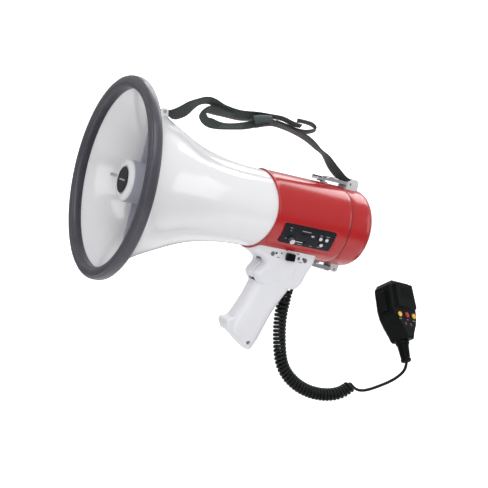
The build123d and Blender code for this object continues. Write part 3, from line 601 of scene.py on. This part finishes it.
def housing():
    """Red skin, open at the control panel; angles give y = r cos a and z = r sin a."""
    low = math.radians(180 + PANEL_ANGLES[0] + PANEL_GAP)
    high = math.radians(180 + PANEL_ANGLES[1] - PANEL_GAP)
    start_x, end_x = PANEL_X[0] + PANEL_GAP, PANEL_X[1] - PANEL_GAP
    around = 190
    angles = list(np.linspace(high, low + 2 * math.pi, around))
    angles += list(np.linspace(low, high, 21)[1:-1] + 2 * math.pi)
    lead_steps, panel_steps = (0.35, 0.7, 1.0), (0.2, 0.4, 0.6, 0.8, 1.0)
    verts = []
    for a in angles:
        side = SKIN_R * math.cos(a)
        front = EDGE_X + EDGE_ARC_R - math.sqrt(EDGE_ARC_R ** 2 - side * side)
        lip_end = LIP[-1][0]
        profile = [(front + x, r) for x, r in LIP]
        profile += [(front + lip_end + (start_x - front - lip_end) * t, SKIN_R)
                    for t in lead_steps]
        profile += [(start_x + (end_x - start_x) * t, SKIN_R) for t in panel_steps]
        profile += [(276, SKIN_R), (282, SKIN_R), (HOUSING_REAR_X - 0.7, SKIN_R),
                    (HOUSING_REAR_X - 0.15, 46.75), (HOUSING_REAR_X, 46.2),
                    (HOUSING_REAR_X, 45.3)]
        verts += [place(x, r * math.cos(a), r * math.sin(a)) for x, r in profile]
    count = len(profile)
    first = len(LIP) + len(lead_steps) - 1

    def in_panel(column, i):
        return column >= around - 1 and first <= i < first + len(panel_steps)

    faces = [face for face in grid_faces(len(angles), count)
             if not in_panel(*divmod(face[0], count))]
    skin = mesh_obj("body_housing_skin", verts, faces, "housing_red", "body")
    wall = skin.modifiers.new("wall", "SOLIDIFY")
    wall.thickness = 0.0016
    wall.offset = -1
    sharpen(skin, 50)
    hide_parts("body_housing")


def rear_cap():
    """Cap with a rounded shoulder and a shallow recess in its rear face."""
    shoulder_x, shoulder_centre, shoulder = 307, 31.6, 15
    profile = [(280, 43.3), (280, 45.05), (287.4, 45.05), (287.4, 46.0), (287.55, 46.45),
               (288.1, 46.62), (295, 46.62), (302, 46.62)]
    for i in range(1, 17):
        a = math.pi / 2 * i / 16
        profile.append((shoulder_x + shoulder * math.sin(a),
                        shoulder_centre + shoulder * math.cos(a)))
    profile += [(322, 24), (321.8, 23.2), (321.3, 22.8), (321.0, 22.2), (321.0, 12), (321, 0.3),
                (319.4, 0.3), (319.4, 30), (316, 38), (309, 43), (300, 43.3)]
    skin = lathe("rear_cap_skin", profile, "housing_red", "rear_cap", 192, sharp=50)
    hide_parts("rear_cap")


# ------------------------------------------------------------ strap
STRAP_WIDTH = 18.6
# Each row is a station of a strip: x, y, z of its -Y edge, then of its +Y edge
STRAP_MAIN = [
    (36.8, -4.6, 86.6, 51.8, 4.6, 79.6), (41.6, -5.2, 86.0, 55.5, 5.2, 78.3),
    (51.8, -6.5, 90.5, 62.9, 4.5, 79.7), (59.4, -6.0, 96.2, 71.8, 4.0, 85.8),
    (66.7, -6.1, 101.9, 78.9, 6.1, 94.1), (75.1, -7.4, 106.8, 85.4, 7.4, 100.7),
    (86.8, -6.8, 111.7, 97.7, 6.8, 104.0), (97.7, -5.8, 111.8, 104.7, 7.8, 100.5),
    (107.7, -5.5, 108.8, 111.4, 9.5, 97.8), (118.7, -5.2, 106.9, 124.8, 9.2, 96.1),
    (131.6, -5.9, 106.3, 139.9, 7.9, 96.1), (145.2, -7.0, 108.0, 154.5, 7.0, 99.1),
    (157.8, -7.7, 109.5, 167.1, 7.7, 103.3), (170.9, -7.8, 110.3, 180.6, 7.8, 105.8),
    (188.0, -8.0, 110.7, 197.0, 8.0, 105.8), (199.8, -8.4, 108.4, 207.4, 8.4, 103.5),
    (212.3, -8.6, 107.4, 219.3, 8.6, 103.5),
]
STRAP_LOOP = [
    (160.4, -3.4, 108.2, 169.7, 11.4, 100.7), (145.6, -2.1, 105.9, 154.9, 12.1, 97.3),
    (130.3, -1.9, 103.7, 139.7, 11.9, 94.5), (114.4, -3.0, 102.6, 120.5, 13.0, 94.3),
    (102.4, -2.9, 103.9, 106.2, 12.9, 94.0), (92.0, -4.1, 101.7, 98.2, 12.1, 94.0),
    (84.2, -4.5, 93.5, 97.8, 8.5, 91.9), (82.4, -6.1, 87.3, 98.3, 4.1, 89.6),
    (87.8, -7.8, 80.9, 101.7, 1.8, 89.6), (98.7, -9.6, 78.1, 110.4, 1.6, 88.1),
    (111.2, -10.9, 79.7, 121.3, 2.9, 88.0), (128.2, -11.7, 83.3, 135.8, 3.7, 91.3),
    (143.5, -10.6, 87.3, 150.1, 4.6, 96.5), (157.0, -10.0, 93.0, 162.7, 6.0, 101.5),
    (170.4, -9.5, 98.9, 177.7, 7.5, 103.5),
]
STRAP_REAR = [
    (167.1, -7.6, 104.9, 178.4, 5.6, 97.4), (178.3, -7.2, 104.4, 188.6, 7.2, 97.5),
    (190.8, -8.0, 101.9, 199.5, 8.0, 96.6), (204.9, -8.3, 99.7, 212.6, 8.3, 94.6),
    (217.9, -8.2, 98.1, 225.1, 8.2, 91.5), (230.1, -8.3, 94.0, 236.7, 8.3, 87.4),
    (240.7, -8.7, 87.7, 246.6, 8.7, 83.1), (247.2, -8.6, 83.8, 254.4, 8.6, 80.0),
    (256.0, -9.0, 80.3, 260.1, 9.0, 75.6), (266.4, -8.7, 73.8, 268.2, 8.7, 66.6),
    (278.7, -8.6, 65.5, 280.0, 8.6, 57.6), (288.3, -8.7, 59.7, 292.1, 8.7, 52.9),
    (294.3, -8.9, 57.4, 299.4, 8.9, 52.7),
]
STRAP_TAIL = [
    (179.1, -5.1, 105.4, 187.8, 11.1, 100.5), (191.8, -5.1, 104.0, 200.5, 11.1, 98.9),
    (204.7, -5.1, 102.2, 213.4, 11.1, 97.2), (217.2, -5.0, 102.0, 226.4, 11.0, 97.4),
    (227.0, -5.0, 104.4, 236.1, 11.0, 100.1), (233.4, -5.2, 108.7, 242.2, 11.2, 104.7),
    (230.1, -5.2, 111.5, 238.6, 11.2, 107.3), (221.6, -5.2, 113.2, 230.2, 11.2, 109.3),
    (211.9, -5.2, 113.3, 220.9, 11.2, 109.4), (206.2, -5.2, 113.0, 215.0, 11.2, 108.9),
]
STRAP_SLEEVE = [
    (146.2, -11.6, 102.7, 156.2, -0.4, 91.1), (157.7, -12.2, 105.9, 167.4, 0.2, 95.2),
    (169.5, -12.1, 107.4, 178.8, 2.1, 98.8),
]


def ribbon(name, stations, samples, thickness=1.5, body="body", material="strap_web"):
    """Strip of constant width with thinned edges; returns it with its two edge lines."""
    edges = curve_through(stations, samples)
    left, right = edges[:, :3], edges[:, 3:]
    middle = (left + right) / 2
    lengths = path_lengths(middle)
    tangents = np.gradient(middle, axis=0)
    across = 9
    verts, faces, uv = [], [], []
    for i in range(samples):
        width = right[i] - left[i]
        width = width / np.linalg.norm(width) * STRAP_WIDTH
        normal = np.cross(tangents[i] / np.linalg.norm(tangents[i]), width)
        normal /= np.linalg.norm(normal)
        for side in (1, -1):
            for j in range(across):
                s = j / (across - 1) - 0.5
                thin = 1 - (abs(s) * 2) ** 6 * 0.55
                verts.append(place(*(middle[i] + width * s
                                     + normal * side * thickness / 2 * thin)))
                uv.append((lengths[i], s * STRAP_WIDTH))
    count = across * 2
    for i in range(samples - 1):
        a, b = i * count, (i + 1) * count
        a2, b2 = a + across, b + across
        for j in range(across - 1):
            faces.append((a + j, a + j + 1, b + j + 1, b + j))
            faces.append((a2 + j, b2 + j, b2 + j + 1, a2 + j + 1))
        faces.append((a, b, b2, a2))
        faces.append((a2 - 1, a + count - 1, b + count - 1, b2 - 1))
    for a in (0, (samples - 1) * count):
        for j in range(across - 1):
            faces.append((a + j, a + across + j, a + across + j + 1, a + j + 1))
    obj = mesh_obj(name, verts, faces, material, body, uv=uv)
    return obj, left, right


def strap_stitches(left, right):
    """Eight slanting stitches across the lower run of the loop."""
    middle = (left + right) / 2
    sewn = [i for i in range(len(middle)) if 112 < middle[i][0] < 142 and middle[i][2] < 94.5]
    lift = np.array(CAMERA_BACK) * 1.15
    last = len(sewn) - 1
    for k in range(8):
        i0 = sewn[int(last * k / 8)]
        i1 = sewn[int(last * (k + 0.55) / 8)]
        start = left[i0] * 0.82 + right[i0] * 0.18
        end = left[i1] * 0.22 + right[i1] * 0.78
        path = [place(*(start * (1 - t) + end * t + lift)) for t in np.linspace(0, 1, 6)]
        tube("strap_stitch_%d" % k, path, 0.42, "stitch_thread", "body", sides=6)


def strap():
    main = ribbon("strap_main", STRAP_MAIN, 200)[0]
    _, loop_left, loop_right = ribbon("strap_loop", STRAP_LOOP, 150)
    rear = ribbon("strap_rear", STRAP_REAR, 150, body=None)[0]
    ribbon("strap_tail", STRAP_TAIL, 120, thickness=1.3)
    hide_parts("shoulder_strap")
    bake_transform(rear)
    ribbon("strap_sleeve", STRAP_SLEEVE, 24, thickness=7.5, material="strap_sleeve")
    strap_stitches(loop_left, loop_right)


# ------------------------------------------------------------ coiled cord
CORD_R, LEAD_R = 2.15, 1.9
COIL_R, COIL_PITCH = 6.0, 4.75
# The coil narrows to this share of its radius over these lengths at its ends
COIL_END_SHARE, COIL_START_TAPER, COIL_END_TAPER = 0.32, 22.0, 4.0
# (x, y, z) of the coil's centre line, from the grip to the microphone
COIL_PATH = [(259.0, 10, -91), (253.5, 7, -102), (252.8, 5, -128.6), (258.6, 3, -156),
             (269.5, 1, -181.5), (288.5, 0, -197.5), (313, 0, -206.2), (339, 0, -207),
             (359, 0, -201), (371, 0, -191.5)]
# Plain cord before and after the coil
GRIP_LEAD = [(270.5, 20.0, -60), (270.5, 20.0, -66), (266.4, 15.5, -78)]
MIC_LEAD = [(383.0, 0, -195.8), (389.5, -2, -194.8), (401.3, -5, -189.2), (410.5, -9, -182.6),
            (424.6, -15, -169.6), (430.6, -18.6, -157.0), (428.6, -20.6, -146.5)]


def coil():
    """Points of the helix wound about the coil's centre line."""
    centre = curve_through(COIL_PATH, 400)
    lengths = path_lengths(centre)
    total = lengths[-1]
    turns = total / COIL_PITCH
    samples = int(turns * 22)
    along = np.linspace(0, total, samples)
    middle = np.stack([np.interp(along, lengths, centre[:, d]) for d in range(3)], 1)
    tangents = np.gradient(middle, axis=0)
    tangents /= np.linalg.norm(tangents, axis=1)[:, None]
    u = np.cross(tangents[0], (0, 1, 0))
    u /= np.linalg.norm(u)
    points = []
    for i in range(samples):
        u = u - tangents[i] * np.dot(u, tangents[i])
        u /= np.linalg.norm(u)
        w = np.cross(tangents[i], u)
        a = 2 * math.pi * turns * along[i] / total
        taper = min(1.0, along[i] / COIL_START_TAPER, (total - along[i]) / COIL_END_TAPER)
        radius = COIL_R * (COIL_END_SHARE
                           + (1 - COIL_END_SHARE) * math.sin(taper * math.pi / 2))
        points.append(middle[i] + (u * math.cos(a) + w * math.sin(a)) * radius)
    return np.array(points)


def coiled_cord():
    helix = coil()
    before = curve_through(GRIP_LEAD + [tuple(helix[0])], 40)[:-1]
    after = curve_through([tuple(helix[-1])] + MIC_LEAD, 90)[1:]
    path = [place(*p) for p in np.vstack([before, helix, after])]
    radii = [LEAD_R] * len(before) + [CORD_R] * len(helix) + [LEAD_R] * len(after)
    cord = tube("coiled_cord_skin", path, radii, "cord_black", "mic", sides=10)
    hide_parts("coiled_cord", "cord_leads")


# ------------------------------------------------------------ control panel
# (station, degrees below horizontal, width, height) of the plain printed bars
PANEL_MARKS = [(210, 14.0, 3.2, 0.7), (210.5, 18.0, 2.2, 0.6), (208.2, 31.5, 2.4, 0.7),
               (231, 15.4, 12.0, 0.8), (229, 37.4, 6.5, 0.7), (244, 36.8, 3.0, 0.7),
               (251.5, 16.8, 3.4, 0.7), (260.3, 16.6, 5.0, 0.7), (254.5, 36.0, 3.0, 0.7)]
# (station, degrees below horizontal) of the round collars
COLLARS = [(251.7, 21.5), (260.0, 21.5), (256.0, 31.0)]
# name, station, degrees below horizontal, degrees of tilt, width, height
PORT_EDGES = [("usb_edge", 227.4, 33.4, 32.5, 9.2, 1.1),
              ("card_edge", 240.6, 20.4, 20, 3.6, 1.8)]


def control_panel():
    for i, (x, angle, width, height) in enumerate(PANEL_MARKS):
        prism("panel_mark_%d" % i, bar(width, height), on_body(x, angle, 47.42), X_DIR,
              X_DIR.cross(outward(angle)).normalized(), (-0.3, 0.3), "mark_grey", "body",
              bevel=0.00004, segments=1)
    inner, outer = 2.55, 3.1
    profile = [(inner, 0.0), (inner, 0.45), (inner + 0.15, 0.6), (outer - 0.15, 0.6),
               (outer, 0.4), (outer, 0.0)]
    for i, (x, angle) in enumerate(COLLARS):
        turned("key_collar_%d" % i, on_body(x, angle, 47.2), outward(angle), profile,
               "panel_black", "body", segments=40)
    for name, x, angle, tilt, width, height in PORT_EDGES:
        prism(name, bar(width, height), on_body(x, angle, 47.45), X_DIR,
              X_DIR.cross(outward(tilt)), (-0.25, 0.12), "key_silver", "body",
              bevel=0.0001, segments=2)


# ------------------------------------------------------------ -Y cheek of the grip
# (station, height, outline) of the plain marks
CHEEK_MARKS = [(209.5, -45.0, dot(1.5)), (213.0, -49.5, bar(3.4, 0.9)),
               (217.0, -44.2, dot(1.1)), (222.0, -39.6, bar(3.2, 0.9)),
               (237.8, -41.2, bar(3.6, 1.0)), (241.0, -46.6, dot(1.9)),
               (246.6, -46.0, dot(1.5)), (244.0, -50.6, bar(4.4, 0.9)),
               (250.4, -50.0, bar(2.6, 0.9))]
# (radius, (station, height) points) of the low ribs
CHEEK_RIBS = [(2.4, [(214, -52), (219, -62), (226, -74), (235, -84)]),
              (1.9, [(207, -62), (212, -70), (221, -77.5), (231, -83)]),
              (1.8, [(240, -52), (240, -62), (241, -72), (242, -81)])]


def on_cheek(x, z):
    """Point and outward normal of the grip shell, looking along +Y."""
    shell = NODES["grip_shell_left"]
    inverse = shell.matrix_world.inverted()
    direction = (inverse.to_3x3() @ Vector((0, 1, 0))).normalized()
    hit, point, normal, _ = shell.ray_cast(inverse @ place(x, -80, z), direction)
    if not hit:
        return place(x, -25, z), Vector((0, -1, 0))
    normal = (shell.matrix_world.to_3x3() @ normal).normalized()
    if normal.y > 0:
        normal = -normal
    return shell.matrix_world @ point, normal


def cheek_mark(name, x, z, outline):
    point, normal = on_cheek(x, z)
    y_dir = (Vector((0, 0, 1)) - normal * normal.z).normalized()
    prism(name, outline, point, y_dir.cross(normal), y_dir, (-0.3, 0.10), "mark_ink", "body",
          bevel=0.00003, segments=1)


def cheek_rib(name, radius, points):
    """Rib sunk into the shell and tapered at both ends."""
    path = []
    for x, z in curve_through(points, 22):
        point, normal = on_cheek(x, z)
        path.append(point - normal * (radius * 0.62) / 1000)
    shares = [min(max((i + 0.6) / len(path), 0.03), 0.97) for i in range(len(path))]
    radii = [radius * math.sin(math.pi * share) ** 0.6 for share in shares]
    tube(name, path, radii, "grip_white", "body", sides=14)


def grip_cheek():
    # The ray casts need evaluated meshes
    bpy.context.evaluated_depsgraph_get()
    for i, mark in enumerate(CHEEK_MARKS):
        cheek_mark("cheek_mark_%d" % i, *mark)
    for i, rib in enumerate(CHEEK_RIBS):
        cheek_rib("cheek_rib_%d" % i, *rib)


# ------------------------------------------------------------ microphone
MIC_CENTRE = place(423.0, 11.8, -100.6)
MIC_ACROSS = Vector((0.96202, 0.26718, -0.05664)).normalized()
MIC_OUT = Vector((0.25176, -0.7877, 0.5625)).normalized()
MIC_UP = MIC_OUT.cross(MIC_ACROSS)
MIC_FACE = 15.0  # height of the face over the centre
# Places on the face, across and up; the marks add a width
MIC_LAMPS = [(-5.0, -12.0), (5.2, -12.2)]
MIC_MARKS = [(-14.0, -6.4, 4.6), (0.0, -6.2, 3.6), (12.6, -6.2, 4.6)]
MIC_RINGS = [(-14.2, -0.6), (0.0, 0.0), (13.6, 0.0)]


def on_mic(x, y):
    return MIC_CENTRE + (MIC_ACROSS * x + MIC_UP * y + MIC_OUT * MIC_FACE) / 1000


def microphone():
    """Dim lamps, short bars and key rings on the face."""
    for i, (x, y) in enumerate(MIC_LAMPS):
        turned("mic_lamp_%d" % i, on_mic(x, y), MIC_OUT,
               [(0, 0.28), (1.6, 0.22), (2.1, 0.0), (2.1, -0.5)],
               "key_dim", "mic", segments=28)
    for i, (x, y, width) in enumerate(MIC_MARKS):
        prism("mic_mark_%d" % i, bar(width, 0.8), on_mic(x, y), MIC_ACROSS, MIC_UP,
              (-0.2, 0.05), "mark_grey", "mic", bevel=0.00003, segments=1)
    for i, (x, y) in enumerate(MIC_RINGS):
        turned("mic_key_ring_%d" % i, on_mic(x, y), MIC_OUT,
               [(3.75, -0.2), (3.75, 0.35), (4.2, 0.55), (4.9, 0.40), (5.1, -0.2)],
               "mic_black", "mic", segments=40)


# ------------------------------------------------------------ latches
LATCH_TIP = [(249.4, -6.2), (255.6, -6.2), (256.6, -5.2), (256.6, 5.2), (255.6, 6.2),
             (249.4, 6.2)]
# (x, y, z) along the wire bails
BAIL_TOP = [(286.5, -5.6, 54.9), (268, -5.6, 54.6), (263.5, -5.0, 54.2), (262.2, 0, 54.1),
            (263.5, 5.0, 54.2), (268, 5.6, 54.6), (286.5, 5.6, 54.9)]
BAIL_LOWER = [(296, -4.8, -54.9), (282, -4.8, -54.2), (278.5, -4.2, -53.8), (277.6, 0, -53.7),
              (278.5, 4.2, -53.8), (282, 4.8, -54.2), (296, 4.8, -54.9)]


def latches():
    prism("latch_tip_top", LATCH_TIP, place(0, 0, 0), X_DIR, (0, 1, 0), (52.4, 54.1),
          "switch_black", "latch_top", bevel=0.0004, segments=3)
    for end, path, radius in (("top", BAIL_TOP, 0.9), ("lower", BAIL_LOWER, 0.8)):
        tube("latch_bail_" + end, [place(*p) for p in path], radius, "latch_chrome",
             "latch_" + end, sides=10)


# ------------------------------------------------------------ stage
def stage_material(name, front_only, graze):
    """Pale surface that fades out at grazing angles, between the two cosines in graze.

    With front_only it is seen by the camera alone, and from its front.
    """
    material = bpy.data.materials.new(name)
    m = Nodes(material, "ShaderNodeOutputMaterial")
    # Diffuse white, with a glow that only the camera sees
    diffuse = m.join("ShaderNodeBsdfDiffuse", (0.93, 0.93, 0.93, 1))
    glow = m.join("ShaderNodeEmission", (1, 1, 1, 1), m.math("MULTIPLY", m.camera_ray(), 0.62))
    pale = m.join("ShaderNodeAddShader", diffuse, glow)
    geometry = m.add("ShaderNodeNewGeometry")
    facing = m.add("ShaderNodeVectorMath")
    facing.operation = "DOT_PRODUCT"
    m.feed(facing.inputs[0], geometry.outputs["Incoming"])
    m.feed(facing.inputs[1], geometry.outputs["True Normal"])
    shown = m.remap(m.math("ABSOLUTE", facing.outputs["Value"]), *graze, 0, 1)
    shown.node.interpolation_type = "SMOOTHSTEP"
    if front_only:
        front = m.math("SUBTRACT", 1, geometry.outputs["Backfacing"])
        shown = m.math("MULTIPLY", m.math("MULTIPLY", shown, front), m.camera_ray())
    clear = m.add("ShaderNodeBsdfTransparent").outputs[0]
    m.feed(m.output.inputs[0], m.join("ShaderNodeMixShader", shown, clear, pale))
    return material


def plane(name, centre, u, v, half_size, material):
    mesh = bpy.data.meshes.new(name)
    c, u, v = Vector(centre), Vector(u) * half_size, Vector(v) * half_size
    corners = [tuple(c - u - v), tuple(c + u - v), tuple(c + u + v), tuple(c - u + v)]
    mesh.from_pydata(corners, [], [(0, 1, 2, 3)])
    obj = bpy.data.objects.new(name, mesh)
    bpy.context.scene.collection.objects.link(obj)
    mesh.materials.append(material)
    obj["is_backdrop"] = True


def stage():
    """Floor just below the object and an upright card just behind it."""
    low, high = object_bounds()
    plane("stage_floor", ((low[0] + high[0]) / 2, 0, low[2] - 0.004), (1, 0, 0), (0, 1, 0),
          3.0, stage_material("stage_floor", front_only=False, graze=(0.30, 0.50)))
    along = Vector((0.8870, -0.4618, 0.0)).normalized()
    facing = Vector((-0.4618, -0.8870, 0.0)).normalized()
    depth = -9.0  # below any depth of the object
    for node in NODES.values():
        for vertex in node.data.vertices:
            point = node.matrix_world @ vertex.co
            depth = max(depth, -facing.x * point.x - facing.y * point.y)
    plane("stage_card", -facing * (depth + 0.012), along, (0, 0, 1), 2.2,
          stage_material("stage_card", front_only=True, graze=(0.72, 0.86)))


# ------------------------------------------------------------ light
# (position from straight down to straight up, grey level) of the sky gradient
SKY = ((0.30, 0.60), (0.40, 0.34), (0.455, 0.42), (0.50, 0.62), (0.53, 0.80), (0.62, 0.95))


def world():
    """Grey gradient for lighting and reflections, plain white to the camera."""
    studio = bpy.data.worlds.new("studio")
    bpy.context.scene.world = studio
    m = Nodes(studio, "ShaderNodeOutputWorld")
    coords = m.add("ShaderNodeTexCoord").outputs["Generated"]
    split = m.join("ShaderNodeSeparateXYZ", coords).node
    gradient = m.join("ShaderNodeValToRGB", m.remap(split.outputs[2], -1, 1, 0, 1))
    stops = gradient.node.color_ramp.elements
    stops[0].position = 0.0
    stops[0].color = (0.62, 0.62, 0.63, 1)
    stops[1].position = 1.0
    stops[1].color = (1.0, 1.0, 1.0, 1)
    for position, grey in SKY:
        stops.new(position).color = (grey, grey, grey * 1.01, 1)
    lighting = m.join("ShaderNodeBackground", gradient, 0.66)
    backdrop = m.join("ShaderNodeBackground", (1, 1, 1, 1), 1.0)
    m.feed(m.output.inputs[0],
           m.join("ShaderNodeMixShader", m.camera_ray(), lighting, backdrop))


def area(name, location, target, size, power):
    """White rectangular light aimed at a target; metres and watts."""
    light = bpy.data.lights.new(name, "AREA")
    light.shape = "RECTANGLE"
    light.size, light.size_y = size
    light.energy = power
    light.color = (1, 1, 1)
    obj = bpy.data.objects.new(name, light)
    bpy.context.scene.collection.objects.link(obj)
    obj.location = location
    aim = Vector(target) - Vector(location)
    obj.rotation_euler = aim.to_track_quat("-Z", "Y").to_euler()


def lights():
    area("key_top", (-0.5, -1.1, 1.5), target=(0, 0, 0.05), size=(1.4, 1.0), power=12.5)
    area("fill_front", (-1.5, -1.3, 0.35), target=(-0.1, 0, 0.05), size=(0.9, 1.2), power=6.8)
    area("back_top", (0.8, 0.75, 1.5), target=(0.05, 0, 0.05), size=(1.6, 0.9), power=19)
    area("side_right", (1.5, -0.7, 0.6), target=(0.1, 0, 0.05), size=(0.8, 1.0), power=3.6)
    area("under", (0.0, -0.8, -0.9), target=(0, 0, 0), size=(1.6, 0.9), power=1.0)


# ------------------------------------------------------------ camera
def camera():
    scene = bpy.context.scene
    scene.view_settings.view_transform = "Standard"
    scene.view_settings.look = "None"
    scene.view_settings.exposure = 0.0
    data = bpy.data.cameras.new("camera")
    data.sensor_width = 36.0
    data.lens = 96.366393
    data.clip_start = 0.01
    obj = bpy.data.objects.new("camera", data)
    scene.collection.objects.link(obj)
    right = Vector((0.8706, -0.4349, 0.2301))
    up = Vector((-0.1733, 0.1666, 0.9709))
    back = Vector(CAMERA_BACK)
    location = place(-526.3, -1354.0, 62.6)
    rows = [(right[i], up[i], back[i], location[i]) for i in range(3)]
    obj.matrix_world = Matrix((*rows, (0, 0, 0, 1)))
    scene.camera = obj


dress_cad()
horn()
bell_rim()
reflector_barrel()
housing()
rear_cap()
strap()
coiled_cord()
control_panel()
grip_cheek()
microphone()
latches()
stage()
world()
lights()
camera()
